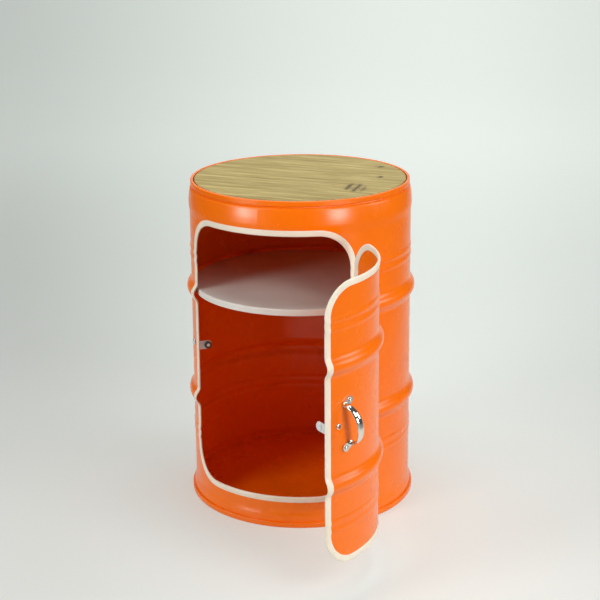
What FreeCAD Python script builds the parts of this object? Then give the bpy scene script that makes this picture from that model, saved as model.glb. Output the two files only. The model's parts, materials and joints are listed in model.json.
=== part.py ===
"""Barrel bar cabinet: a small steel drum with a door cut out of its wall.

Millimetres, +Z up. The origin is on the drum's axis at the floor. The middle of the
opening faces -Y, and an angle round the drum is counted from there, positive towards +X.
A place on the wall is given by its arc, the distance from the opening's middle measured
round the outside of the wall. The door is built shut and then swung open on its hinges.
"""
import FreeCAD, Part
import math
import os
from FreeCAD import Vector

# ---- drum ----------------------------------------------------------------------------
height = 580.0
body_radius = 196.0          # outside of the plain wall
sheet = 1.0                  # wall, heads and door
hoop_from_end = 193.3        # each rolling hoop to the nearer end of the drum
hoop_height = 7.8
hoop_half_width = 19.5
rib_height = 1.0             # shallow stiffening ribs, in pairs
rib_half_width = 6.8
rib_pitch = 15.0
rib_from_hoop = 67.1         # middle of a pair to the nearer hoop
shoulder_drop = 41.0         # crest of the top shoulder below the rim
shoulder_height = 1.7
shoulder_half_width = 17.5
neck_sweep_radius = 133.5    # the shoulder's upper side, then the tuck under the rim
neck_sweep_angle = 10.9
neck_tuck_radius = 6.1
neck_tuck_angle = 60.0
neck_root_radius = 2.8
foot_flare = 2.7             # the wall widens this much into the bottom chime
foot_flare_start_z = 15.0
foot_flare_length = 15.0

# ---- heads and chimes ----------------------------------------------------------------
chime_height = 9.3
top_chime_fold = 2.8         # rolled layers outside the wall's edge
bottom_chime_fold = 3.5
chime_round = 1.3
fold_play = 0.1
edge_to_rim = 3.0            # the wall's edge stops this far inside the fold
head_recess = 12.0           # rim to the head's outer face

# ---- opening and its edge trim -------------------------------------------------------
opening_arc = 320.8          # width, measured round the wall
opening_bottom_z = 54.0
opening_below_rim = 58.0
opening_corner = 58.7
trim_cover = 9.2             # trim over the sheet, each side
trim_web = 1.4               # trim beyond the sheet's edge
trim_lip = 1.4               # thickness of each lip
trim_play = 0.1
window_reach = 39.0          # a window's cutter, each side of the wall

# ---- door ----------------------------------------------------------------------------
door_clearance = 2.0         # between the two trims
open_angle = 100.0           # as it stands at rest; shut is 100 degrees back

# ---- hinges --------------------------------------------------------------------------
hinge_axis_standout = 7.4    # axis outside the plain wall
hinge_axis_past_edge = 4.0   # axis past the opening's edge, round the wall
leaf_thickness = 1.5
leaf_end_gap = 1.65          # leaf to the rib below and the hoop above, or the reverse
leaf_float = 0.25            # flat leaf off the curved wall at its ends
knuckle_radius = 3.0
knuckle_gap = 0.3
pin_radius = 1.5
pin_play = 0.05
pin_head_radius = 2.4
pin_head_height = 0.8
leaf_foot_length = 18.0
leaf_foot_past_trim = 4.0
leaf_step_length = 6.5       # run of the crank between foot and knuckle
bolt_from_leaf_end = 6.0

# ---- threaded fasteners --------------------------------------------------------------
bolt_radius = 2.0
bolt_head_radius = 3.7
bolt_head_height = 2.3
bolt_head_round = 1.7
bolt_hole_play = 0.2
seat_play = 0.1              # a flat head or nut against the curved wall
nut_across_flats = 7.0
nut_height = 3.2
thread_play = 0.05
nut_standout = 1.0           # bolt past its nut
slot_length = 4.2
slot_width = 0.8
slot_depth = 1.1
bolt_hole_reach = 20.0       # a hole's cutter, each side of the wall

# ---- handle --------------------------------------------------------------------------
handle_from_edge = 42.4      # handle's middle line to the door's free edge, round the wall
handle_spacing = 76.0        # screw to screw, up the door
handle_screw_offset = 4.0    # upper screw past the middle line, lower screw before it
handle_head_play = 0.2       # the screws lean a little against the flat feet
foot_pad_radius = 6.5
foot_pad_height = 3.0
bow_end_inset = 5.0          # bow's end nearer to the handle's middle than its screw
bow_end_offset = 6.0         # bow's end on the other side of the middle line
bow_height = 29.0
bow_end_width = 8.0
bow_mid_width = 12.5
bow_end_collar = 0.8         # flat rim round each end of the bow
bow_end_thickness = 5.5
bow_mid_thickness = 5.2
bow_sections = 13

# ---- catch ---------------------------------------------------------------------------
catch_width = 15.2
catch_plate = 1.5
catch_leg_depth = 23.5       # how far a bracket's leg reaches in from the wall
catch_leg_corner = 6.0
strike_leg_inside_edge = 0.6
catch_air_gap = 0.85         # magnet to strike plate when shut
catch_trim_gap = 0.2         # bracket to the trim's inner lip, and nut to bracket
catch_foot_length = 33.0
catch_bolt_from_edge = 26.0
strike_bolt_from_edge = 24.3
catch_head_radius = 5.3      # the domed bolts of the bracket and the strike
catch_head_height = 3.0
catch_head_round = 2.4
catch_disc_radius = 6.5
catch_disc_depth = 16.8      # disc's centre in from the wall
magnet_height = 4.0
strike_height = 1.2
small_screw_radius = 1.5
small_head_radius = 2.8
small_head_height = 1.5
small_head_sink = 0.1        # screw's head below the magnet's face
small_screw_standout = 0.6
rivet_head_height = 1.2
small_nut_across_flats = 5.5
small_nut_height = 2.4

# ---- shelf and top -------------------------------------------------------------------
shelf_above_hoop = 7.0       # shelf's top over the middle of the upper hoop
shelf_thickness = 12.0
shelf_wall_gap = 2.6
shelf_round = 2.0
tab_width = 24.0
tab_reach = 26.0
tab_weld_length = 24.0       # of the plate against the wall, below the hoop
tab_thickness = 2.0
tab_screw_from_wall = 16.0
tab_angles = (-63.0, 63.0, 130.0, -130.0)
wood_gap = 1.7
wood_chamfer = 1.0
wood_screw_length = 8.0
wood_screw_from_rim = 62.0
wood_screw_count = 4
first_wood_screw = 45.0      # degrees round from the opening's middle

# ---- worked out ----------------------------------------------------------------------
cut_margin = 1.0             # a cutter past the face that it goes through
near_enough = 0.01           # for telling an edge by its place
origin = Vector(0, 0, 0)
up = Vector(0, 0, 1)
inner_radius = body_radius - sheet
lower_hoop_z = hoop_from_end
upper_hoop_z = height - hoop_from_end
middle_z = height / 2
rib_heights = sorted(
    [lower_hoop_z - rib_from_hoop + side * rib_pitch / 2 for side in (-1, 1)]
    + [upper_hoop_z + rib_from_hoop + side * rib_pitch / 2 for side in (-1, 1)])
opening_top_z = height - opening_below_rim
edge_arc = opening_arc / 2
edge_gap = 2 * trim_web + door_clearance
door_edge_arc = edge_arc - edge_gap
hinge_arc = edge_arc + hinge_axis_past_edge
hinge_axis_radius = body_radius + hinge_axis_standout
flat_from_hoop = rib_from_hoop - rib_pitch / 2 - rib_half_width
leaf_height = flat_from_hoop - hoop_half_width - 2 * leaf_end_gap
hinge_heights = (lower_hoop_z - (flat_from_hoop + hoop_half_width) / 2,
                 upper_hoop_z + (flat_from_hoop + hoop_half_width) / 2)
hinge_bolt_heights = [z + side * (leaf_height / 2 - bolt_from_leaf_end)
                      for z in hinge_heights for side in (-1, 1)]
barrel_foot_arc = edge_arc + trim_cover + leaf_foot_past_trim
door_foot_arc = door_edge_arc - trim_cover - leaf_foot_past_trim
barrel_bolt_arc = barrel_foot_arc + leaf_foot_length / 2
door_bolt_arc = door_foot_arc - leaf_foot_length / 2
leaf_outer_radius = body_radius + leaf_thickness + 2 * leaf_float
nut_seat = inner_radius - seat_play
handle_arc = -door_edge_arc + handle_from_edge
handle_screw_places = [(handle_arc + side * handle_screw_offset,
                        middle_z + side * handle_spacing / 2) for side in (-1, 1)]
hinge_head = (bolt_head_radius, bolt_head_height, bolt_head_round)
catch_head = (catch_head_radius, catch_head_height, catch_head_round)
trim_inner_radius = inner_radius - trim_lip
disc_radius_place = inner_radius - catch_disc_depth
strike_leg_arc = -door_edge_arc + strike_leg_inside_edge
catch_stack = catch_plate + magnet_height + catch_air_gap + strike_height
catch_leg_arc = strike_leg_arc - catch_stack * body_radius / disc_radius_place
catch_bend_radius = trim_inner_radius - catch_trim_gap - catch_plate / 2
catch_nut_seat = catch_bend_radius - catch_plate / 2 - catch_trim_gap
catch_bolt_arc = -edge_arc - catch_bolt_from_edge
strike_bolt_arc = -door_edge_arc + strike_bolt_from_edge
shelf_top_z = upper_hoop_z + shelf_above_hoop
shelf_bottom_z = shelf_top_z - shelf_thickness


def angle(arc):
    """Angle round the drum, in degrees, of a place given by its arc."""
    return math.degrees(arc / body_radius)


def polar(arc, radius, z=0.0):
    turn = math.radians(angle(arc))
    return Vector(radius * math.sin(turn), -radius * math.cos(turn), z)


def swung_to(shape, arc):
    """A shape built at the opening's middle, carried round the drum to an arc."""
    moved = shape.copy()
    moved.rotate(origin, up, angle(arc))
    return moved


# ---- the wall's line -----------------------------------------------------------------
def swell(half_width, rise):
    """Two equal arcs that rise smoothly over a half width: their radius and their angle."""
    lean = 2 * math.atan2(rise, half_width)
    return half_width / (2 * math.sin(lean)), math.degrees(lean)


def wall_moves():
    """The outside of the wall from its bottom edge up: ("rise", z) or ("bend", radius, turn).

    A positive turn leans the wall inwards as it climbs.
    """
    def step(half_width, rise):
        radius, lean = swell(half_width, abs(rise))
        turn = lean if rise < 0 else -lean
        return [("bend", radius, turn), ("bend", radius, -turn)]

    def ridge(z, half_width, rise):
        radius, lean = swell(half_width, rise)
        return [("rise", z - half_width), ("bend", radius, -lean),
                ("bend", radius, 2 * lean), ("bend", radius, -lean)]

    moves = [("rise", foot_flare_start_z)] + step(foot_flare_length, -foot_flare)
    ridges = [(z, rib_half_width, rib_height) for z in rib_heights]
    ridges += [(z, hoop_half_width, hoop_height) for z in (lower_hoop_z, upper_hoop_z)]
    for z, half_width, rise in sorted(ridges):
        moves += ridge(z, half_width, rise)
    moves += [("rise", height - shoulder_drop - shoulder_half_width)]
    moves += step(shoulder_half_width, shoulder_height)
    moves += [("bend", neck_sweep_radius, neck_sweep_angle),
              ("bend", neck_tuck_radius, neck_tuck_angle - neck_sweep_angle),
              ("bend", neck_root_radius, -neck_tuck_angle),
              ("rise", height - edge_to_rim)]
    return moves


def wall_line(offset):
    """Edges of the wall's line moved outwards by an offset, with the radius at its top."""
    radius, z, lean = body_radius + foot_flare, edge_to_rim, 0.0
    edges = []

    def point(r, height_here, turn):
        return Vector(0, -(r + offset * math.cos(turn)), height_here + offset * math.sin(turn))

    for move in wall_moves():
        start = point(radius, z, math.radians(lean))
        if move[0] == "rise":
            z = move[1]
            edges.append(Part.makeLine(start, point(radius, z, math.radians(lean))))
            continue
        side = 1 if move[2] > 0 else -1
        centre_r = radius - side * move[1] * math.cos(math.radians(lean))
        centre_z = z - side * move[1] * math.sin(math.radians(lean))

        def along(share):
            turn = math.radians(lean + share * move[2])
            return (centre_r + side * move[1] * math.cos(turn),
                    centre_z + side * move[1] * math.sin(turn), turn)

        edges.append(Part.Arc(start, point(*along(0.5)), point(*along(1.0))).toShape())
        radius, z, lean = along(1.0)[0], along(1.0)[1], lean + move[2]
    return edges, radius


neck_radius = wall_line(0.0)[1]


def wall_band(outer, inner, first_arc=None, last_arc=None):
    """The wall between two offsets, all round or between two arcs."""
    outside, inside = wall_line(outer)[0], wall_line(inner)[0]
    ends = [Part.makeLine(inside[0].Vertexes[0].Point, outside[0].Vertexes[0].Point),
            Part.makeLine(inside[-1].Vertexes[-1].Point, outside[-1].Vertexes[-1].Point)]
    section = Part.Face(Part.Wire(Part.__sortEdges__(outside + inside + ends)))
    if first_arc is None:
        return section.revolve(origin, up, 360)
    return swung_to(section, first_arc).revolve(origin, up, angle(last_arc - first_arc))


def window(first_arc, last_arc, bottom, top, corner, grow=0.0):
    """A block that covers a round-cornered window in the wall, grown on every side."""
    inside, outside = body_radius - window_reach, body_radius + window_reach
    first, last = first_arc - grow, last_arc + grow
    corners = [Vector(0, -inside, bottom - grow), Vector(0, -outside, bottom - grow),
               Vector(0, -outside, top + grow), Vector(0, -inside, top + grow)]
    face = Part.Face(Part.makePolygon(corners + corners[:1]))
    block = swung_to(face, first).revolve(origin, up, angle(last - first))
    radial = [edge for edge in block.Edges
              if edge.Curve.TypeId == "Part::GeomLine"
              and abs(edge.tangentAt(edge.FirstParameter).z) < 0.5]
    return block.makeFillet(corner + grow, radial)


def opening_window(grow=0.0):
    return window(-edge_arc, edge_arc, opening_bottom_z, opening_top_z, opening_corner, grow)


def door_window(grow=0.0):
    return window(-door_edge_arc, door_edge_arc, opening_bottom_z + edge_gap,
                  opening_top_z - edge_gap, opening_corner - edge_gap, grow)


# ---- fasteners, built at the opening's middle with their heads on the outside --------
def outward_rod(radius, from_radius, to_radius, z):
    """A cylinder along the line out of the drum, between two distances from the axis."""
    return Part.makeCylinder(radius, to_radius - from_radius,
                             Vector(0, -from_radius, z), Vector(0, -1, 0))


def cross_slot(face_radius, z):
    slots = []
    for width, tall in ((slot_length, slot_width), (slot_width, slot_length)):
        slots.append(Part.makeBox(width, slot_depth, tall,
                                  Vector(-width / 2, -face_radius, z - tall / 2)))
    return slots[0].fuse(slots[1])


def wall_bolt(seat_radius, end_radius, z, head_sizes):
    """A domed bolt with a cross slot, its head seated at one radius and ending at another.

    head_sizes are the head's radius, its height and the round of its edge.
    """
    head_radius, head_height, head_round = head_sizes
    top = seat_radius + head_height
    head = outward_rod(head_radius, seat_radius, top, z)
    rim = [edge for edge in head.Edges if edge.BoundBox.YMax < -top + near_enough]
    head = head.makeFillet(head_round, rim)
    return head.fuse(outward_rod(bolt_radius, end_radius, seat_radius, z)).cut(
        cross_slot(top, z))


def wall_nut(seat_radius, z):
    """A hexagon nut inside the wall: its outward face lies at the seat."""
    corner = nut_across_flats / 2 / math.cos(math.radians(30))
    points = [Vector(corner * math.cos(math.radians(60 * k)), -seat_radius,
                     z + corner * math.sin(math.radians(60 * k))) for k in range(7)]
    body = Part.Face(Part.makePolygon(points)).extrude(Vector(0, nut_height, 0))
    return body.cut(outward_rod(bolt_radius + thread_play,
                                seat_radius - nut_height - cut_margin,
                                seat_radius + cut_margin, z))


def bolt_hole(z):
    """A round hole through the wall and whatever is bolted to it."""
    return outward_rod(bolt_radius + bolt_hole_play, inner_radius - bolt_hole_reach,
                       body_radius + bolt_hole_reach, z)


# ---- drum ----------------------------------------------------------------------------
def drum_shell():
    holes = [swung_to(bolt_hole(z), barrel_bolt_arc) for z in hinge_bolt_heights]
    holes.append(swung_to(bolt_hole(middle_z), catch_bolt_arc))
    return wall_band(0, -sheet).cut(opening_window()).cut(holes)


def turned(points, rounds=()):
    """A solid of revolution; rounds are (radius, z, fillet) for its circular edges."""
    profile = [Vector(0, -r, z) for r, z in points]
    solid = Part.Face(Part.makePolygon(profile + profile[:1])).revolve(origin, up, 360)
    for r, z, fillet in rounds:
        rim = [edge for edge in solid.Edges
               if abs(edge.BoundBox.XMax - r) < near_enough
               and abs(edge.BoundBox.ZMax - z) < near_enough
               and abs(edge.BoundBox.ZMin - z) < near_enough]
        solid = solid.makeFillet(fillet, rim)
    return solid


def drum_head(edge_radius, fold, rim_z, outward):
    """A drum head: its panel, the wall that stands up to the rim, and the rolled chime.

    outward is +1 for the top head and -1 for the bottom one.
    """
    stand_outer = edge_radius - sheet - fold_play
    stand_inner = stand_outer - sheet
    slot_outer = edge_radius + fold_play
    outer = slot_outer + fold

    def z(depth):
        return rim_z - outward * depth

    points = [(0, z(head_recess + sheet)), (stand_outer, z(head_recess + sheet)),
              (stand_outer, z(edge_to_rim - fold_play)),
              (slot_outer, z(edge_to_rim - fold_play)),
              (slot_outer, z(chime_height)), (outer, z(chime_height)), (outer, z(0)),
              (stand_inner, z(0)), (stand_inner, z(head_recess)), (0, z(head_recess))]
    rounds = [(outer, z(0), chime_round), (outer, z(chime_height), chime_round),
              (stand_inner, z(0), chime_round)]
    return turned(points, rounds)


def top_head():
    head = drum_head(neck_radius, top_chime_fold, height, 1)
    return head.cut(wood_screw_rods(bolt_hole_play))


def bottom_head():
    return drum_head(body_radius + foot_flare, bottom_chime_fold, 0.0, -1)


# ---- top and shelf -------------------------------------------------------------------
def rods_up(angles, radius, bottom, top, rod_radius):
    """Upright cylinders at angles round the drum, given in degrees."""
    rods = []
    for angle_deg in angles:
        rod = Part.makeCylinder(rod_radius, top - bottom, Vector(0, -radius, bottom))
        rod.rotate(origin, up, angle_deg)
        rods.append(rod)
    return rods


def wood_screw_rods(play=0.0):
    angles = [first_wood_screw + 360 * k / wood_screw_count
              for k in range(wood_screw_count)]
    seat = height - head_recess
    return rods_up(angles, neck_radius - wood_screw_from_rim, seat - sheet,
                   seat + wood_screw_length, bolt_radius + play)


def shelf_screw_rods(play=0.0):
    return rods_up(tab_angles, inner_radius - tab_screw_from_wall,
                   shelf_bottom_z - tab_thickness, shelf_bottom_z + wood_screw_length,
                   bolt_radius + play)


def screws_from_below(rods):
    """Screws driven up: each rod gets a round head at its foot."""
    screws = []
    for rod in rods:
        box = rod.BoundBox
        base = Vector(box.Center.x, box.Center.y, box.ZMin - bolt_head_height)
        screws.append(rod.fuse(Part.makeCylinder(bolt_head_radius, bolt_head_height, base)))
    return Part.makeCompound(screws)


def wood_top():
    radius = neck_radius - 2 * sheet - fold_play - wood_gap
    disc = turned([(0, height - head_recess), (radius, height - head_recess),
                   (radius, height), (0, height)])
    rim = [edge for edge in disc.Edges if edge.BoundBox.ZMin > height - near_enough]
    return disc.makeChamfer(wood_chamfer, rim).cut(wood_screw_rods(thread_play))


def shelf():
    radius = inner_radius - shelf_wall_gap
    disc = turned([(0, shelf_bottom_z), (radius, shelf_bottom_z), (radius, shelf_top_z),
                   (0, shelf_top_z)],
                  [(radius, shelf_top_z, shelf_round), (radius, shelf_bottom_z, shelf_round)])
    return disc.cut(shelf_screw_rods(thread_play))


def shelf_tab(angle_deg):
    """An angle tab on the wall: a flat plate down the wall and a ledge under the shelf."""
    back = math.sqrt(inner_radius ** 2 - (tab_width / 2) ** 2)
    foot = upper_hoop_z - hoop_half_width - tab_weld_length
    plate = Part.makeBox(tab_width, tab_thickness, shelf_bottom_z - foot,
                         Vector(-tab_width / 2, -back, foot))
    ledge = Part.makeBox(tab_width, tab_reach, tab_thickness,
                         Vector(-tab_width / 2, -back, shelf_bottom_z - tab_thickness))
    tab = plate.fuse(ledge).removeSplitter()
    tab.rotate(origin, up, angle_deg)
    return tab.cut(shelf_screw_rods(bolt_hole_play))


# ---- edge trims ----------------------------------------------------------------------
def opening_trim():
    """Rubber channel over the opening's edge."""
    reach = edge_arc + trim_cover + trim_lip
    thick = wall_band(trim_lip, -sheet - trim_lip, -reach, reach)
    thin = wall_band(trim_play, -sheet - trim_play, -reach - trim_lip, reach + trim_lip)
    ring = opening_window(trim_cover).cut(opening_window(-trim_web))
    return thick.common(ring).cut(thin.cut(opening_window(-trim_play)))


def door_trim():
    """Rubber channel over the door's edge."""
    reach = edge_arc
    thick = wall_band(trim_lip, -sheet - trim_lip, -reach, reach)
    thin = wall_band(trim_play, -sheet - trim_play, -reach, reach)
    ring = door_window(trim_web).cut(door_window(-trim_cover))
    return thick.common(ring).cut(thin.common(door_window(trim_play)))


# ---- door ----------------------------------------------------------------------------
def door_panel():
    panel = wall_band(0, -sheet, -edge_arc, edge_arc).common(door_window())
    holes = [swung_to(bolt_hole(z), door_bolt_arc) for z in hinge_bolt_heights]
    holes += [swung_to(bolt_hole(z), arc) for arc, z in handle_screw_places]
    holes.append(swung_to(bolt_hole(middle_z), strike_bolt_arc))
    return panel.cut(holes)


# ---- hinges --------------------------------------------------------------------------
def bent_plate(path, thickness, bottom, tall):
    """A plate of even thickness bent along a path of points in plan."""
    line = Part.makePolygon(path)
    sides = [line.makeOffset2D(side * thickness / 2, openResult=True, join=2)
             for side in (-1, 1)]
    ends = [(sides[0].OrderedVertexes[k].Point, sides[1].OrderedVertexes[k].Point)
            for k in (0, -1)]
    if ends[0][0].distanceToPoint(ends[0][1]) > 2 * thickness:
        ends = [(sides[0].OrderedVertexes[0].Point, sides[1].OrderedVertexes[-1].Point),
                (sides[0].OrderedVertexes[-1].Point, sides[1].OrderedVertexes[0].Point)]
    edges = sides[0].Edges + sides[1].Edges + [Part.makeLine(a, b) for a, b in ends]
    face = Part.Face(Part.Wire(Part.__sortEdges__(edges)))
    solid = face.extrude(Vector(0, 0, tall))
    solid.translate(Vector(0, 0, bottom))
    return solid


def knuckle_spans(z):
    """Bottom and top of the three knuckles of the hinge at a height, lowest first."""
    tall = (leaf_height - 2 * knuckle_gap) / 3
    bottoms = [z - leaf_height / 2 + k * (tall + knuckle_gap) for k in range(3)]
    return [(bottom, bottom + tall) for bottom in bottoms]


def hinge_leaf(z, path, spans, bolt_arc):
    """A leaf bent along a path, with its knuckles rolled at the spans given."""
    axis = polar(hinge_arc, hinge_axis_radius)
    leaf = bent_plate(path, leaf_thickness, z - leaf_height / 2, leaf_height)
    for bottom, top in knuckle_spans(z):
        if (bottom, top) not in spans:
            room = Part.makeCylinder(knuckle_radius + knuckle_gap, top - bottom
                                     + 2 * knuckle_gap, axis + up * (bottom - knuckle_gap))
            leaf = leaf.cut(room)
    for bottom, top in spans:
        knuckle = Part.makeCylinder(knuckle_radius, top - bottom, axis + up * bottom)
        leaf = leaf.fuse(knuckle)
    bore = Part.makeCylinder(pin_radius + pin_play, leaf_height + 2 * cut_margin,
                             axis + up * (z - leaf_height / 2 - cut_margin))
    holes = [swung_to(bolt_hole(bolt_z), bolt_arc) for bolt_z in hinge_bolt_heights]
    return leaf.cut([bore] + holes).removeSplitter()


def hinge_path(foot_arc, direction):
    """Plan of a cranked leaf, from its foot's end to its knuckle."""
    seat = body_radius + leaf_thickness / 2 + leaf_float
    raised = hinge_axis_radius - knuckle_radius + leaf_thickness / 2
    path = [polar(foot_arc + direction * leaf_foot_length, seat), polar(foot_arc, seat),
            polar(foot_arc - direction * leaf_step_length, raised)]
    knuckle = polar(hinge_arc, raised)
    if path[-1].distanceToPoint(knuckle) > leaf_thickness:
        path.append(knuckle)
    return path


def barrel_hinge_leaf(z):
    spans = knuckle_spans(z)
    return hinge_leaf(z, hinge_path(barrel_foot_arc, 1), [spans[0], spans[2]],
                      barrel_bolt_arc)


def door_hinge_leaf(z):
    spans = knuckle_spans(z)
    return hinge_leaf(z, hinge_path(door_foot_arc, -1), [spans[1]], door_bolt_arc)


def hinge_pin(z):
    axis = polar(hinge_arc, hinge_axis_radius)
    bottom, top = z - leaf_height / 2, z + leaf_height / 2
    pin = Part.makeCylinder(pin_radius, leaf_height, axis + up * bottom)
    heads = [Part.makeCylinder(pin_head_radius, pin_head_height, axis + up * place)
             for place in (bottom - pin_head_height, top)]
    return pin.fuse(heads[0]).fuse(heads[1])


def bolts(seat_radius, nut_radius, places, head_sizes=hinge_head):
    """Bolts at places (arc, z), their heads at one radius and their nuts at another."""
    end = nut_radius - nut_height - nut_standout
    made = [swung_to(wall_bolt(seat_radius, end, z, head_sizes), arc) for arc, z in places]
    return Part.makeCompound(made) if len(made) > 1 else made[0]


def nuts(nut_radius, places):
    made = [swung_to(wall_nut(nut_radius, z), arc) for arc, z in places]
    return Part.makeCompound(made) if len(made) > 1 else made[0]


def up_the_hinges(arc):
    return [(arc, z) for z in hinge_bolt_heights]


# ---- handle --------------------------------------------------------------------------
def foot_plate(screw, bow_end, seat):
    """A flat tapered foot, from a screw to the end of the bow, as (x, z) places."""
    small = bow_end_width / 2 + bow_end_collar
    run_x, run_z = bow_end[0] - screw[0], bow_end[1] - screw[1]
    heading = math.atan2(run_z, run_x)
    spread = math.acos((foot_pad_radius - small) / math.hypot(run_x, run_z))
    corners = []
    for (x, z), radius, side in ((screw, foot_pad_radius, -1), (bow_end, small, -1),
                                 (bow_end, small, 1), (screw, foot_pad_radius, 1)):
        turn = heading + side * spread
        corners.append(Vector(x + radius * math.cos(turn), -seat,
                              z + radius * math.sin(turn)))
    web = Part.Face(Part.makePolygon(corners + corners[:1]))
    foot = web.extrude(Vector(0, -foot_pad_height, 0))
    for (x, z), radius in ((screw, foot_pad_radius), (bow_end, small)):
        rod = outward_rod(radius, seat, seat + foot_pad_height, z)
        rod.translate(Vector(x, 0, 0))
        foot = foot.fuse(rod)
    return foot.removeSplitter()


def handle():
    """A bow that leans between two tapered feet, each foot screwed to the door."""
    seat = body_radius + seat_play
    end_rise = handle_spacing / 2 - bow_end_inset
    half_span = math.hypot(end_rise, bow_end_offset)
    bow_root = foot_pad_height / 2
    bow_rise = bow_height - bow_root
    sections = []
    for k in range(bow_sections):
        turn = math.radians(-90 + 180 * k / (bow_sections - 1))
        share = math.cos(turn)
        z = half_span * math.sin(turn)
        out = bow_root + bow_rise * share
        tangent = Vector(0, bow_rise * math.sin(turn), half_span * math.cos(turn))
        tangent.normalize()
        wide = bow_end_width + (bow_mid_width - bow_end_width) * share
        thick = bow_end_thickness + (bow_mid_thickness - bow_end_thickness) * share
        centre = Vector(0, -(seat + out), z)
        ring = Part.Ellipse(Vector(0, 0, 0), wide / 2, thick / 2).toShape()
        across = Vector(1, 0, 0)
        depth = tangent.cross(across)
        frame = FreeCAD.Matrix(across.x, depth.x, tangent.x, centre.x,
                               across.y, depth.y, tangent.y, centre.y,
                               across.z, depth.z, tangent.z, centre.z, 0, 0, 0, 1)
        sections.append(Part.Wire(ring.transformGeometry(frame)))
    bow = Part.makeLoft(sections, True, False)
    bow.rotate(origin, Vector(0, 1, 0), -math.degrees(math.atan2(bow_end_offset, end_rise)))
    feet = [foot_plate((side * handle_screw_offset, side * handle_spacing / 2),
                       (-side * bow_end_offset, side * end_rise), seat) for side in (-1, 1)]
    body = bow.multiFuse(feet).removeSplitter()
    body.translate(up * middle_z)
    holes = [swung_to(bolt_hole(z), arc - handle_arc) for arc, z in handle_screw_places]
    return swung_to(body.cut(holes), handle_arc)


# ---- magnetic catch ------------------------------------------------------------------
def angle_bracket(leg_arc, direction, bolt_arc):
    """A bent plate: its foot lies over the trim's lip to the wall, its leg points inwards."""
    far_radius = inner_radius - catch_plate / 2 - seat_play
    leg_end_radius = inner_radius - catch_leg_depth
    path = [polar(leg_arc + direction * catch_foot_length, far_radius),
            polar(leg_arc, catch_bend_radius), polar(leg_arc, leg_end_radius)]
    plate = bent_plate(path, catch_plate, middle_z - catch_width / 2, catch_width)
    near = polar(leg_arc, leg_end_radius, middle_z)
    tips = [edge for edge in plate.Edges
            if edge.Curve.TypeId == "Part::GeomLine"
            and edge.Length < catch_plate + near_enough
            and edge.CenterOfMass.distanceToPoint(near) < catch_width / 2 + cut_margin]
    plate = plate.makeFillet(catch_leg_corner, tips)
    through = leg_rod(leg_arc, small_screw_radius + thread_play, -catch_plate,
                      2 * catch_plate)
    return plate.cut([swung_to(bolt_hole(middle_z), bolt_arc), through])


def leg_rod(leg_arc, radius, start, length):
    """A cylinder square to a bracket's leg, along the arc, at the disc's centre."""
    turn = math.radians(angle(leg_arc))
    along = Vector(math.cos(turn), math.sin(turn), 0)
    base = polar(leg_arc, disc_radius_place, middle_z) + along * start
    return Part.makeCylinder(radius, length, base, along)


def leg_nut(leg_arc, start):
    turn = math.radians(angle(leg_arc))
    along = Vector(math.cos(turn), math.sin(turn), 0)
    outward = Vector(math.sin(turn), -math.cos(turn), 0)
    centre = polar(leg_arc, disc_radius_place, middle_z) + along * start
    corner = small_nut_across_flats / 2 / math.cos(math.radians(30))
    points = [centre + outward * (corner * math.cos(math.radians(60 * k)))
              + up * (corner * math.sin(math.radians(60 * k))) for k in range(7)]
    body = Part.Face(Part.makePolygon(points)).extrude(along * small_nut_height)
    return body.cut(leg_rod(leg_arc, small_screw_radius + thread_play, start - cut_margin,
                            small_nut_height + 2 * cut_margin))


def magnet():
    face = catch_plate / 2 + magnet_height
    sunk = small_head_height + small_head_sink
    disc = leg_rod(catch_leg_arc, catch_disc_radius, catch_plate / 2, magnet_height)
    seat = leg_rod(catch_leg_arc, small_head_radius + thread_play, face - sunk, 2 * sunk)
    bore = leg_rod(catch_leg_arc, small_screw_radius + thread_play, 0, 2 * face)
    return disc.cut([seat, bore])


def magnet_screw():
    head_seat = catch_plate / 2 + magnet_height - small_head_height - small_head_sink
    end = -catch_plate / 2 - small_nut_height - small_screw_standout
    head = leg_rod(catch_leg_arc, small_head_radius, head_seat, small_head_height)
    return head.fuse(leg_rod(catch_leg_arc, small_screw_radius, end, head_seat - end))


def magnet_nut():
    return leg_nut(catch_leg_arc, -catch_plate / 2 - small_nut_height)


def strike_plate():
    start = -catch_plate / 2 - strike_height
    disc = leg_rod(strike_leg_arc, catch_disc_radius, start, strike_height)
    bore = leg_rod(strike_leg_arc, small_screw_radius + thread_play, 2 * start, -2 * start)
    return disc.cut(bore)


def strike_rivet():
    start = -catch_plate / 2 - strike_height
    head = leg_rod(strike_leg_arc, small_head_radius, catch_plate / 2, rivet_head_height)
    return head.fuse(leg_rod(strike_leg_arc, small_screw_radius, start,
                             strike_height + catch_plate))


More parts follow.
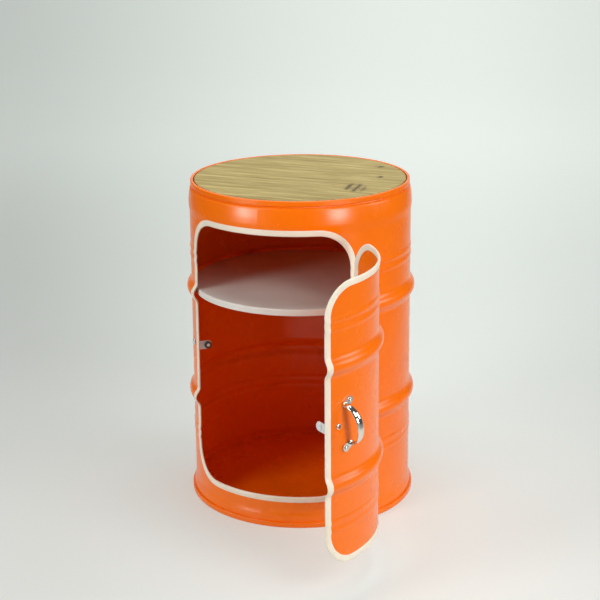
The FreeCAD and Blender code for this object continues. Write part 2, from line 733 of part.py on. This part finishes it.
# ---- the whole cabinet ---------------------------------------------------------------
def barrel_pieces():
    pieces = {
        "drum_shell": drum_shell(), "top_head": top_head(), "bottom_head": bottom_head(),
        "wood_top": wood_top(), "wood_top_screws": screws_from_below(wood_screw_rods()),
        "shelf": shelf(), "shelf_screws": screws_from_below(shelf_screw_rods()),
        "opening_trim": opening_trim(),
        "barrel_hinge_bolts": bolts(leaf_outer_radius, nut_seat,
                                    up_the_hinges(barrel_bolt_arc)),
        "barrel_hinge_nuts": nuts(nut_seat, up_the_hinges(barrel_bolt_arc)),
        "catch_bracket": angle_bracket(catch_leg_arc, -1, catch_bolt_arc),
        "catch_bolt": bolts(body_radius + seat_play, catch_nut_seat,
                            [(catch_bolt_arc, middle_z)], catch_head),
        "catch_nut": nuts(catch_nut_seat, [(catch_bolt_arc, middle_z)]),
        "catch_magnet": magnet(), "magnet_screw": magnet_screw(),
        "magnet_nut": magnet_nut(),
    }
    for number, angle_deg in enumerate(tab_angles, 1):
        pieces["shelf_tab_%d" % number] = shelf_tab(angle_deg)
    for place, z in zip(("lower", "upper"), hinge_heights):
        pieces[place + "_hinge_barrel_leaf"] = barrel_hinge_leaf(z)
        pieces[place + "_hinge_pin"] = hinge_pin(z)
    return pieces


def door_pieces():
    """The door with what is fixed to it, shut."""
    pieces = {
        "door_panel": door_panel(), "door_trim": door_trim(), "door_handle": handle(),
        "handle_screws": bolts(body_radius + seat_play + foot_pad_height + handle_head_play,
                               nut_seat, handle_screw_places),
        "handle_nuts": nuts(nut_seat, handle_screw_places),
        "door_hinge_bolts": bolts(leaf_outer_radius, nut_seat,
                                  up_the_hinges(door_bolt_arc)),
        "door_hinge_nuts": nuts(nut_seat, up_the_hinges(door_bolt_arc)),
        "strike_bracket": angle_bracket(strike_leg_arc, 1, strike_bolt_arc),
        "strike_plate": strike_plate(), "strike_rivet": strike_rivet(),
        "strike_bolt": bolts(body_radius + seat_play, catch_nut_seat,
                             [(strike_bolt_arc, middle_z)], catch_head),
        "strike_nut": nuts(catch_nut_seat, [(strike_bolt_arc, middle_z)]),
    }
    for place, z in zip(("lower", "upper"), hinge_heights):
        pieces[place + "_hinge_door_leaf"] = door_hinge_leaf(z)
    return pieces


def build():
    """Every piece by its name, with the door swung open."""
    pieces = barrel_pieces()
    for name, shape in door_pieces().items():
        shape.rotate(polar(hinge_arc, hinge_axis_radius), up, open_angle)
        pieces[name] = shape
    return pieces


os.makedirs("parts", exist_ok=True)
for name, shape in build().items():
    shape.exportStep("parts/%s.step" % name)
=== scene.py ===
"""Barrel bar cabinet: its looks, a plain studio and the camera. Metres, in the CAD's frame."""
import json
import math
import bpy
from mathutils import Matrix, Vector

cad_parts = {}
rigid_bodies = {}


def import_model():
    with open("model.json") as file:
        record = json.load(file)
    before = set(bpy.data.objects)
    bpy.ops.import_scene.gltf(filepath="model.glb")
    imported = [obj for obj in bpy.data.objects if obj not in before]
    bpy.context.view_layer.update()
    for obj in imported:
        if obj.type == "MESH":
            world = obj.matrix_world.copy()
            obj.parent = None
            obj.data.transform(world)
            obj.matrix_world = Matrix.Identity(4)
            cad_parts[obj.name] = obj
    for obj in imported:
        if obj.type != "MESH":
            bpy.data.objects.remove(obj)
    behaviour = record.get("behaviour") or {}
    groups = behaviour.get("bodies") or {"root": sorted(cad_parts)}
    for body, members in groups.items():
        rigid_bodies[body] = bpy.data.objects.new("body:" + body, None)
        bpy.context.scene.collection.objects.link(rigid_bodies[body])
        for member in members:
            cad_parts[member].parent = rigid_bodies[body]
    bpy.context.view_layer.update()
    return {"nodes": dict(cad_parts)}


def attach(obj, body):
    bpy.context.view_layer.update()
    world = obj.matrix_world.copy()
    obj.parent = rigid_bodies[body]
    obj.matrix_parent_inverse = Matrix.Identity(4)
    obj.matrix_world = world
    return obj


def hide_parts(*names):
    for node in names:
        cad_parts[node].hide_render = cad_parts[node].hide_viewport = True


for left_over in list(bpy.data.objects):
    bpy.data.objects.remove(left_over)
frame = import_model()

# ---- sizes shared with the CAD, in metres ---------------------------------------------
BODY_RADIUS = 0.196
HOOPS = ((0.1933, 0.0195, 0.0078), (0.3867, 0.0195, 0.0078))     # z, half width, rise
RIBS = ((0.1187, 0.0068, 0.001), (0.1337, 0.0068, 0.001),
        (0.4463, 0.0068, 0.001), (0.4613, 0.0068, 0.001))
SHOULDER_START_Z = 0.5215
SHOULDER_HALF_WIDTH = 0.0175
SHOULDER_RISE = 0.0017
SHEET = 0.001
OPENING_EDGE_ARC = 0.1604
OPENING_BOTTOM_Z = 0.054
OPENING_TOP_Z = 0.522
OPENING_CORNER = 0.0587
DOOR_EDGE_GAP = 0.0048
TRIM_COVER = 0.0092
TRIM_WEB = 0.0014
TRIM_LIP = 0.0014
OPEN_ANGLE = math.radians(100)
HINGE_AXIS = Vector((0.151294, -0.135947, 0.0))

# ---- sizes of the drawn trims and of the wood's figure, in metres ---------------------
WEB_ROUND = 0.0012          # the web's round is centred this far over the sheet's edge
TIP_ROUND = 0.0011          # reach of the round at a lip's end, along the sheet
TIP_FALL = 0.0005           # how much lower than the lip that round starts
LIP_FALL = 0.0004           # how far a lip's top bends down towards its end
GROOVE_END = 0.0002         # the groove's floor, over the sheet's edge
GROOVE_CLEARANCE = 0.00003
WEB_STEPS = 12
TIP_STEPS = 6
CORNER_STEPS = 28
TRIM_SPACING = 0.0032       # between two sections on a straight run
SLOPE_STEP = 0.0002
VIEW_AZIMUTH = math.radians(21.3)      # the camera stands this far round from the opening
KNOTS = ((0.1206, -0.0525, 0.024, 0.040, 3.0),      # x, y, half run, half depth, strokes
         (0.1330, 0.0418, 0.009, 0.012, 1.0),
         (0.1069, 0.1210, 0.012, 0.010, 1.0))
KNOT_SLANT = 0.32
KNOT_WOBBLE = 0.012


# ---- materials ------------------------------------------------------------------------
def srgb(red, green, blue):
    """A colour from its screen values, as linear RGBA."""
    def linear(value):
        share = value / 255
        return share / 12.92 if share <= 0.04045 else ((share + 0.055) / 1.055) ** 2.4
    return (linear(red), linear(green), linear(blue), 1.0)


class Nodes:
    """A material's node tree, built with short calls."""

    def __init__(self, name):
        self.material = bpy.data.materials.new(name)
        self.material.use_nodes = True
        self.tree = self.material.node_tree
        self.shader = self.tree.nodes["Principled BSDF"]
        self.place = self.add("ShaderNodeTexCoord").outputs["Object"]

    def add(self, kind, **settings):
        node = self.tree.nodes.new(kind)
        for key, value in settings.items():
            setattr(node, key, value)
        return node

    def link(self, source, target):
        self.tree.links.new(source, target)

    def fill(self, socket, value):
        """A socket takes another socket's value or a plain number."""
        if isinstance(value, bpy.types.NodeSocket):
            self.link(value, socket)
        else:
            socket.default_value = value

    def set(self, **values):
        for key, value in values.items():
            self.fill(self.shader.inputs[key.replace("_", " ")], value)

    def stretched(self, scale, turn=0.0):
        """The place on the object, turned about Z and scaled along each axis."""
        mapping = self.add("ShaderNodeMapping")
        mapping.inputs["Scale"].default_value = scale
        mapping.inputs["Rotation"].default_value = (0, 0, turn)
        self.link(self.place, mapping.inputs["Vector"])
        return mapping.outputs["Vector"]

    def noise(self, scale, detail=3.0, roughness=0.5, vector=None, distortion=0.0):
        node = self.add("ShaderNodeTexNoise")
        self.link(self.place if vector is None else vector, node.inputs["Vector"])
        node.inputs["Scale"].default_value = scale
        node.inputs["Detail"].default_value = detail
        node.inputs["Roughness"].default_value = roughness
        node.inputs["Distortion"].default_value = distortion
        return node.outputs["Fac"]

    def span(self, value, low, high, out_low=0.0, out_high=1.0, smooth=False):
        """A value's range carried to another one, held at both ends."""
        node = self.add("ShaderNodeMapRange")
        if smooth:
            node.interpolation_type = "SMOOTHSTEP"
        for name, number in (("Value", value), ("From Min", low), ("From Max", high),
                             ("To Min", out_low), ("To Max", out_high)):
            self.fill(node.inputs[name], number)
        return node.outputs["Result"]

    def maths(self, operation, *values):
        node = self.add("ShaderNodeMath", operation=operation)
        for socket, value in zip(node.inputs, values):
            self.fill(socket, value)
        return node.outputs["Value"]

    def mix(self, share, first, second):
        """Two colours blended: share 0 is the first and share 1 the second."""
        node = self.add("ShaderNodeMix", data_type="RGBA", blend_type="MIX")
        colour_inputs = [socket for socket in node.inputs if socket.type == "RGBA"]
        self.fill(node.inputs["Factor"], share)
        self.fill(colour_inputs[0], first)
        self.fill(colour_inputs[1], second)
        return [socket for socket in node.outputs if socket.type == "RGBA"][0]

    def weighted(self, first, second, first_share, second_share):
        """The sum of two values, each times its share."""
        return self.maths("ADD", self.maths("MULTIPLY", first, first_share),
                          self.maths("MULTIPLY", second, second_share))

    def bump(self, height, distance, strength, under=None):
        """A surface normal from a relief, laid over the relief under it."""
        node = self.add("ShaderNodeBump")
        node.inputs["Strength"].default_value = strength
        node.inputs["Distance"].default_value = distance
        self.link(height, node.inputs["Height"])
        if under is not None:
            self.link(under, node.inputs["Normal"])
        return node.outputs["Normal"]

    def axes(self):
        """X, Y and Z of the place on the object."""
        node = self.add("ShaderNodeSeparateXYZ")
        self.link(self.place, node.inputs["Vector"])
        return node.outputs["X"], node.outputs["Y"], node.outputs["Z"]

    def view_axes(self, x, y):
        """Two level axes as the camera stands: to its right, and away from it."""
        run, side = math.cos(VIEW_AZIMUTH), math.sin(VIEW_AZIMUTH)
        return self.weighted(x, y, run, side), self.weighted(x, y, -side, run)


def orange_enamel():
    """Gloss enamel on drum steel: faint orange peel, a seam down the back, scuffed feet."""
    m = Nodes("orange_enamel")
    x, y, z = m.axes()
    cloud = m.noise(7.0, detail=2.0)
    fine = m.noise(60.0, detail=4.0)
    colour = m.mix(m.span(cloud, 0.3, 0.7), srgb(245, 112, 0), srgb(250, 118, 0))
    colour = m.mix(m.span(fine, 0.35, 0.75, 0.0, 0.25), colour, srgb(238, 104, 0))
    behind = m.maths("GREATER_THAN", y, 0.1)
    seam = m.maths("MULTIPLY", behind, m.span(m.maths("ABSOLUTE", x), 0.001, 0.0035, 1.0, 0.0,
                                              smooth=True))
    colour = m.mix(m.maths("MULTIPLY", seam, 0.35), colour, srgb(206, 84, 0))
    scuff = m.span(m.noise(180.0, detail=5.0, roughness=0.7), 0.62, 0.72)
    low = m.span(z, 0.0, 0.007, 0.6, 0.0)
    colour = m.mix(m.maths("MULTIPLY", scuff, low), colour, srgb(120, 62, 30))
    rough = m.span(m.noise(14.0, detail=4.0, roughness=0.6), 0.3, 0.7, 0.22, 0.30)
    peel = m.bump(m.noise(420.0, detail=2.0), 0.00012, 0.35)
    dents = m.bump(m.noise(9.0, detail=1.0), 0.0012, 0.22, under=peel)
    weld = m.bump(seam, 0.0005, 0.8, under=dents)
    m.set(Base_Color=colour, Roughness=rough, Normal=weld, IOR=1.45)
    return m.material


def top_wood():
    """Olive-yellow boards under thin oil: grain to the viewer's right, three dark knots."""
    m = Nodes("top_wood")
    grain = m.stretched((5.0, 125.0, 20.0), -VIEW_AZIMUTH)
    pores = m.stretched((14.0, 260.0, 60.0), -VIEW_AZIMUTH)
    broad = m.noise(1.0, detail=5.0, roughness=0.65, vector=grain, distortion=0.5)
    fine = m.noise(1.0, detail=4.0, roughness=0.65, vector=pores, distortion=0.2)
    colour = m.mix(m.span(broad, 0.32, 0.66), srgb(152, 131, 68), srgb(208, 190, 124))
    colour = m.mix(m.span(fine, 0.42, 0.70, 0.0, 0.8), colour, srgb(138, 114, 54))
    x, y, _ = m.axes()
    wobble = m.maths("MULTIPLY", m.maths("SUBTRACT", m.noise(110.0), 0.5), KNOT_WOBBLE)
    for knot_x, knot_y, half_run, half_depth, strokes in KNOTS:
        run, depth = m.view_axes(m.maths("SUBTRACT", x, knot_x),
                                 m.maths("SUBTRACT", y, knot_y))
        run = m.maths("ADD", run, wobble)
        reach = m.maths("SQRT", m.maths(
            "ADD", m.maths("POWER", m.maths("DIVIDE", run, half_run), 2.0),
            m.maths("POWER", m.maths("DIVIDE", depth, half_depth), 2.0)))
        slanted = m.weighted(run, depth, 1.0, -KNOT_SLANT)
        wave = m.maths("SINE", m.maths("MULTIPLY", slanted, math.pi * strokes / half_run))
        mask = m.maths("MULTIPLY", m.span(reach, 0.55, 1.0, 1.0, 0.0, smooth=True),
                       m.span(wave, -0.3, 0.6, 0.2, 0.95))
        colour = m.mix(mask, colour, srgb(88, 68, 36))
    m.set(Base_Color=colour, Roughness=m.span(fine, 0.3, 0.7, 0.45, 0.6),
          Normal=m.bump(fine, 0.0004, 0.35), IOR=1.4)
    return m.material


def shelf_board():
    """A board under off-white melamine, with a fine pebbled surface."""
    m = Nodes("shelf_board")
    cloud = m.span(m.noise(16.0, detail=4.0), 0.3, 0.7)
    speck = m.span(m.noise(500.0, detail=2.0), 0.62, 0.8, 0.0, 0.25)
    colour = m.mix(cloud, srgb(218, 214, 204), srgb(228, 224, 215))
    m.set(Base_Color=m.mix(speck, colour, srgb(190, 184, 172)),
          Roughness=m.span(m.noise(30.0), 0.3, 0.7, 0.38, 0.5),
          Normal=m.bump(m.noise(900.0, detail=2.0), 0.00015, 0.4))
    return m.material


def cream_rubber():
    """Cream edge rubber: a dull skin with fine pits, slightly darker in patches."""
    m = Nodes("cream_rubber")
    cloud = m.span(m.noise(22.0, detail=4.0), 0.3, 0.7)
    patch = m.span(m.noise(340.0, roughness=0.6), 0.58, 0.8, 0.0, 0.35)
    colour = m.mix(cloud, srgb(233, 220, 199), srgb(241, 230, 211))
    m.set(Base_Color=m.mix(patch, colour, srgb(206, 192, 162)),
          Roughness=m.span(m.noise(60.0), 0.3, 0.7, 0.42, 0.56),
          Normal=m.bump(m.noise(700.0), 0.0002, 0.35),
          Subsurface_Weight=0.08, Subsurface_Scale=0.003)
    return m.material


def metal(name, colour, shade, roughness, brushed, metallic=1.0):
    """Plated metal or ferrite: fine level lines, and a little unevenness in its shine."""
    m = Nodes(name)
    lines = m.noise(1.0, roughness=0.6, vector=m.stretched((40.0, 40.0, 900.0)))
    cloud = m.noise(45.0)
    base = m.mix(m.span(cloud, 0.3, 0.7), colour, shade)
    base = m.mix(m.span(lines, 0.45, 0.75, 0.0, 0.5 * brushed), base, shade)
    uneven = m.maths("ADD", m.maths("MULTIPLY", lines, brushed), cloud)
    m.set(Base_Color=base, Metallic=metallic, Normal=m.bump(lines, 0.00006, brushed),
          Roughness=m.span(uneven, 0.3, 1.3, roughness * 0.8, roughness * 1.3))
    return m.material


rubber = cream_rubber()
slot_materials = {
    "orange_paint": orange_enamel(),
    "wood_board": top_wood(),
    "white_board": shelf_board(),
    "edge_rubber": rubber,
    "zinc_steel": metal("zinc_plate", srgb(234, 234, 232), srgb(212, 212, 211),
                        roughness=0.42, brushed=0.5, metallic=0.35),
    "bright_steel": metal("chrome", srgb(236, 235, 230), srgb(222, 221, 216),
                          roughness=0.08, brushed=0.04),
    "magnet_steel": metal("magnet_ferrite", srgb(88, 87, 86), srgb(66, 65, 64),
                          roughness=0.36, brushed=0.6, metallic=0.5)}
for node in frame["nodes"].values():
    for place in node.material_slots:
        place.material = slot_materials[place.material.name.split(".")[0]]


# ---- edge trims -----------------------------------------------------------------------
def wall(z):
    """Outside radius of the drum's wall at a height between the chimes."""
    def bulge(rise, half_width, away):
        radius = half_width / (2 * math.sin(2 * math.atan2(rise, half_width)))
        if away >= half_width:
            return 0.0
        if away > half_width / 2:
            return radius - math.sqrt(radius ** 2 - (half_width - away) ** 2)
        return rise - radius + math.sqrt(radius ** 2 - away ** 2)

    out = sum(bulge(rise, half, abs(z - middle)) for middle, half, rise in HOOPS + RIBS)
    if z > SHOULDER_START_Z:
        crest = SHOULDER_START_Z + SHOULDER_HALF_WIDTH
        out += bulge(SHOULDER_RISE, SHOULDER_HALF_WIDTH, crest - z)
    return BODY_RADIUS + out


def trim_loop(edge_arc, bottom, top, corner):
    """Points round a round-cornered window: (arc, z, outward arc, outward z)."""
    points = []
    straight_arc, straight_z = edge_arc - corner, (top - bottom) / 2 - corner
    middle = (top + bottom) / 2
    for side in range(4):
        centre_arc = straight_arc if side in (0, 3) else -straight_arc
        centre_z = middle + (straight_z if side in (0, 1) else -straight_z)
        for k in range(CORNER_STEPS):
            turn = math.pi / 2 * (side + k / CORNER_STEPS)
            out_arc, out_z = math.cos(turn), math.sin(turn)
            points.append((centre_arc + corner * out_arc, centre_z + corner * out_z,
                           out_arc, out_z))
        turn = math.pi / 2 * (side + 1)
        out_arc, out_z = math.cos(turn), math.sin(turn)
        length = 2 * (straight_arc if side in (0, 2) else straight_z)
        steps = round(length / TRIM_SPACING)
        for k in range(steps):
            run = length * k / steps
            points.append((centre_arc + corner * out_arc - out_z * run,
                           centre_z + corner * out_z + out_arc * run, out_arc, out_z))
    return points


def trim_section():
    """Section of the channel: (over the sheet from its edge, outwards from the wall)."""
    inner = -SHEET
    middle = inner / 2
    half = TRIM_LIP - middle
    web = []
    for k in range(WEB_STEPS + 1):
        turn = math.radians(90 + 180 * k / WEB_STEPS)
        web.append((WEB_ROUND + (TRIM_WEB + WEB_ROUND) * math.cos(turn),
                    middle + half * math.sin(turn)))
    lip_run = TRIM_COVER - TIP_ROUND - WEB_ROUND
    lip = [(WEB_ROUND + lip_run * share, TRIM_LIP - LIP_FALL * share ** 2)
           for share in (0.25, 0.5, 0.75)]
    for k in range(TIP_STEPS + 1):
        turn = math.radians(90 - 90 * k / TIP_STEPS)
        lip.append((TRIM_COVER - TIP_ROUND + TIP_ROUND * math.cos(turn),
                    (TRIM_LIP - TIP_FALL) * math.sin(turn)))
    lip.append((GROOVE_END, GROOVE_CLEARANCE))
    return web + [(over, inner - rise) for over, rise in lip] + lip[::-1]


def trim(name, path, towards_sheet, swung=False):
    """The channel swept round its loop on the wall; towards_sheet is +1 outwards, -1 inwards."""
    section = trim_section()
    vertices = []
    for arc, z, out_arc, out_z in path:
        for over, off in section:
            here_arc = arc + out_arc * over * towards_sheet
            here_z = z + out_z * over * towards_sheet
            slope = (wall(here_z + SLOPE_STEP) - wall(here_z - SLOPE_STEP)) / (2 * SLOPE_STEP)
            lean = math.atan(slope)
            radius = wall(here_z) + off * math.cos(lean)
            turn = here_arc / BODY_RADIUS
            vertices.append(Vector((radius * math.sin(turn), -radius * math.cos(turn),
                                    here_z - off * math.sin(lean))))
    if swung:
        swing = (Matrix.Translation(HINGE_AXIS) @ Matrix.Rotation(OPEN_ANGLE, 4, "Z")
                 @ Matrix.Translation(-HINGE_AXIS))
        vertices = [swing @ vertex for vertex in vertices]
    count, rounds = len(section), len(path)
    faces = []
    for i in range(rounds):
        here, ahead = i * count, (i + 1) % rounds * count
        for j in range(count):
            beside = (j + 1) % count
            face = (here + j, here + beside, ahead + beside, ahead + j)
            faces.append(face if towards_sheet > 0 else face[::-1])
    mesh = bpy.data.meshes.new(name)
    mesh.from_pydata(vertices, [], faces)
    mesh.polygons.foreach_set("use_smooth", [True] * len(faces))
    mesh.materials.append(rubber)
    piece = bpy.data.objects.new(name, mesh)
    bpy.context.scene.collection.objects.link(piece)
    return piece


opening_bead = trim("opening_bead", trim_loop(OPENING_EDGE_ARC, OPENING_BOTTOM_Z, OPENING_TOP_Z,
                                              OPENING_CORNER), 1)
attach(opening_bead, "cabinet")
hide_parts("opening_trim")
door_bead = trim("door_bead", trim_loop(OPENING_EDGE_ARC - DOOR_EDGE_GAP,
                                        OPENING_BOTTOM_Z + DOOR_EDGE_GAP,
                                        OPENING_TOP_Z - DOOR_EDGE_GAP,
                                        OPENING_CORNER - DOOR_EDGE_GAP), -1, swung=True)
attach(door_bead, "door")
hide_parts("door_trim")


# ---- studio ---------------------------------------------------------------------------
FLOOR_FRONT, FLOOR_BACK, FLOOR_HALF_WIDTH = -5.0, 4.0, 8.0
SWEEP_RADIUS = 1.5
BACKDROP_TOP = 5.0
WEDGE_START = 2.58          # metres before the drum, where the wedge of the painted pool of light begins
WEDGE_LEAST = 0.3           # keeps the wedge's sides apart before its start
UNLIT_GLOW = 0.03
LAMP_AIM_Z = 0.3
LAMPS = (      # name, degrees round from the opening, distance, height, width, depth, watts
    ("low_left", -34, 2.5, 0.55, 0.76, 0.58, 20.5),
    ("low_right", 58.6, 2.5, 0.55, 0.76, 0.58, 20.5),
    ("high_left", -34, 2.2, 1.7, 1.0, 1.0, 16.5),
    ("high_right", 58.6, 2.2, 1.7, 1.0, 1.0, 18.0),
    ("far_right", 105, 2.4, 1.2, 1.0, 1.0, 15.0),
    ("overhead", 21, -0.25, 2.3, 1.6, 1.6, 28.0))
WORLD_STRENGTH = 0.10


def studio_floor():
    """A pale floor with a painted pool of light in a wedge before the camera and painted grey
    shade round it; it glows only where it is seen, in painted gradients of light.
    """
    m = Nodes("studio_floor")
    x, y, _ = m.axes()
    right, back = m.view_axes(x, y)
    aside = m.maths("DIVIDE", right,
                    m.maths("MAXIMUM", m.maths("ADD", back, WEDGE_START), WEDGE_LEAST))
    # painted light: a pool of light painted as a wedge before the camera, fading to painted
    # shade round it
    painted_light_pool = m.maths("MULTIPLY", m.span(back, -1.4, -0.45, 0.0, 1.0, smooth=True),
                  m.span(m.maths("ABSOLUTE", aside), 0.23, 0.5, 1.0, 0.0, smooth=True))
    speckle = m.span(m.noise(0.6, detail=2.0), 0.3, 0.7)
    pale = m.mix(speckle, srgb(186, 188, 185), srgb(190, 192, 188))
    # painted shade: the darker grey the floor takes outside the painted pool of light
    painted_shade_grey = srgb(105, 106, 104)
    # painted light: the glow is a painted gradient of light over floor and backdrop, rising far
    # off and from the left, with painted shade taking it down again towards the right, and kept
    # inside the painted pool of light
    left_to_right = m.span(aside, -0.219, 0.151, smooth=True)
    near_to_far = m.span(back, -1.27, 2.2, 0.346, 0.513, smooth=True)
    backdrop = m.span(back, 0.51, 3.47, 0.15, 0.425, smooth=True)
    painted_shade_right = m.span(aside, -0.158, 0.271, 0.0, 0.335, smooth=True)
    glow = m.maths("ADD", m.maths("MULTIPLY", left_to_right, near_to_far), backdrop)
    glow = m.maths("MULTIPLY", m.maths("SUBTRACT", glow, painted_shade_right), painted_light_pool)
    path = m.add("ShaderNodeLightPath")
    seen = m.maths("MAXIMUM", m.maths("MAXIMUM", path.outputs["Is Camera Ray"],
                                      path.outputs["Is Glossy Ray"]),
                   path.outputs["Is Transmission Ray"])
    # painted shade outside the painted pool of light, the floor's own pale colour inside it
    m.set(Base_Color=m.mix(painted_light_pool, painted_shade_grey, pale), Roughness=0.6,
          Emission_Color=srgb(247, 255, 248),
          Emission_Strength=m.maths("MULTIPLY", m.maths("ADD", glow, UNLIT_GLOW), seen))
    return m.material


def floor_sweep():
    """The floor's sheet, which curves up into a backdrop."""
    profile = [(FLOOR_FRONT, 0.0), (0.0, 0.0), (FLOOR_BACK, 0.0)]
    for degrees in range(10, 91, 10):
        turn = math.radians(degrees)
        profile.append((FLOOR_BACK + SWEEP_RADIUS * math.sin(turn),
                        SWEEP_RADIUS - SWEEP_RADIUS * math.cos(turn)))
    profile.append((FLOOR_BACK + SWEEP_RADIUS, BACKDROP_TOP))
    vertices = [(x, y, z) for y, z in profile for x in (-FLOOR_HALF_WIDTH, FLOOR_HALF_WIDTH)]
    faces = [(2 * k, 2 * k + 1, 2 * k + 3, 2 * k + 2) for k in range(len(profile) - 1)]
    mesh = bpy.data.meshes.new("floor_sweep")
    mesh.from_pydata(vertices, [], faces)
    mesh.polygons.foreach_set("use_smooth", [True] * len(faces))
    mesh.materials.append(studio_floor())
    floor = bpy.data.objects.new("floor_sweep", mesh)
    bpy.context.scene.collection.objects.link(floor)


def soft_box(name, degrees, distance, middle_z, width, depth, power):
    """A large soft lamp; degrees are counted round the drum from the opening's middle."""
    lamp = bpy.data.lights.new(name, "AREA")
    lamp.shape = "RECTANGLE"
    lamp.size, lamp.size_y, lamp.energy = width, depth, power
    azimuth = math.radians(degrees)
    place = Vector((distance * math.sin(azimuth), -distance * math.cos(azimuth), middle_z))
    aim = (Vector((0, 0, LAMP_AIM_Z)) - place).to_track_quat("-Z", "Y")
    stand = bpy.data.objects.new(name, lamp)
    stand.matrix_world = Matrix.Translation(place) @ aim.to_matrix().to_4x4()
    bpy.context.scene.collection.objects.link(stand)


floor_sweep()
for lamp_row in LAMPS:
    soft_box(*lamp_row)
world = bpy.data.worlds.new("studio")
world.use_nodes = True
background = world.node_tree.nodes["Background"]
background.inputs["Color"].default_value = (1.0, 1.0, 1.0, 1.0)
background.inputs["Strength"].default_value = WORLD_STRENGTH
bpy.context.scene.world = world

# ---- camera ---------------------------------------------------------------------------
CAMERA_DISTANCE = 2.584
CAMERA_HEIGHT = 1.154
CAMERA_PITCH = math.radians(14.5)
CAMERA_ROLL = math.radians(-0.45)
FOCAL_LENGTH = 89.8         # millimetres, as is the sensor's width
SENSOR_WIDTH = 36.0
LENS_SHIFT = (-0.0007, -0.1203)
lens = bpy.data.cameras.new("camera")
lens.lens = FOCAL_LENGTH
lens.sensor_width = SENSOR_WIDTH
lens.shift_x, lens.shift_y = LENS_SHIFT
camera = bpy.data.objects.new("camera", lens)
camera.matrix_world = (
    Matrix.Translation((CAMERA_DISTANCE * math.sin(VIEW_AZIMUTH),
                        -CAMERA_DISTANCE * math.cos(VIEW_AZIMUTH), CAMERA_HEIGHT))
    @ Matrix.Rotation(VIEW_AZIMUTH, 4, "Z")
    @ Matrix.Rotation(math.pi / 2 - CAMERA_PITCH, 4, "X")
    @ Matrix.Rotation(CAMERA_ROLL, 4, "Z"))
bpy.context.scene.collection.objects.link(camera)
bpy.context.scene.camera = camera
bpy.context.scene.view_settings.view_transform = "Standard"
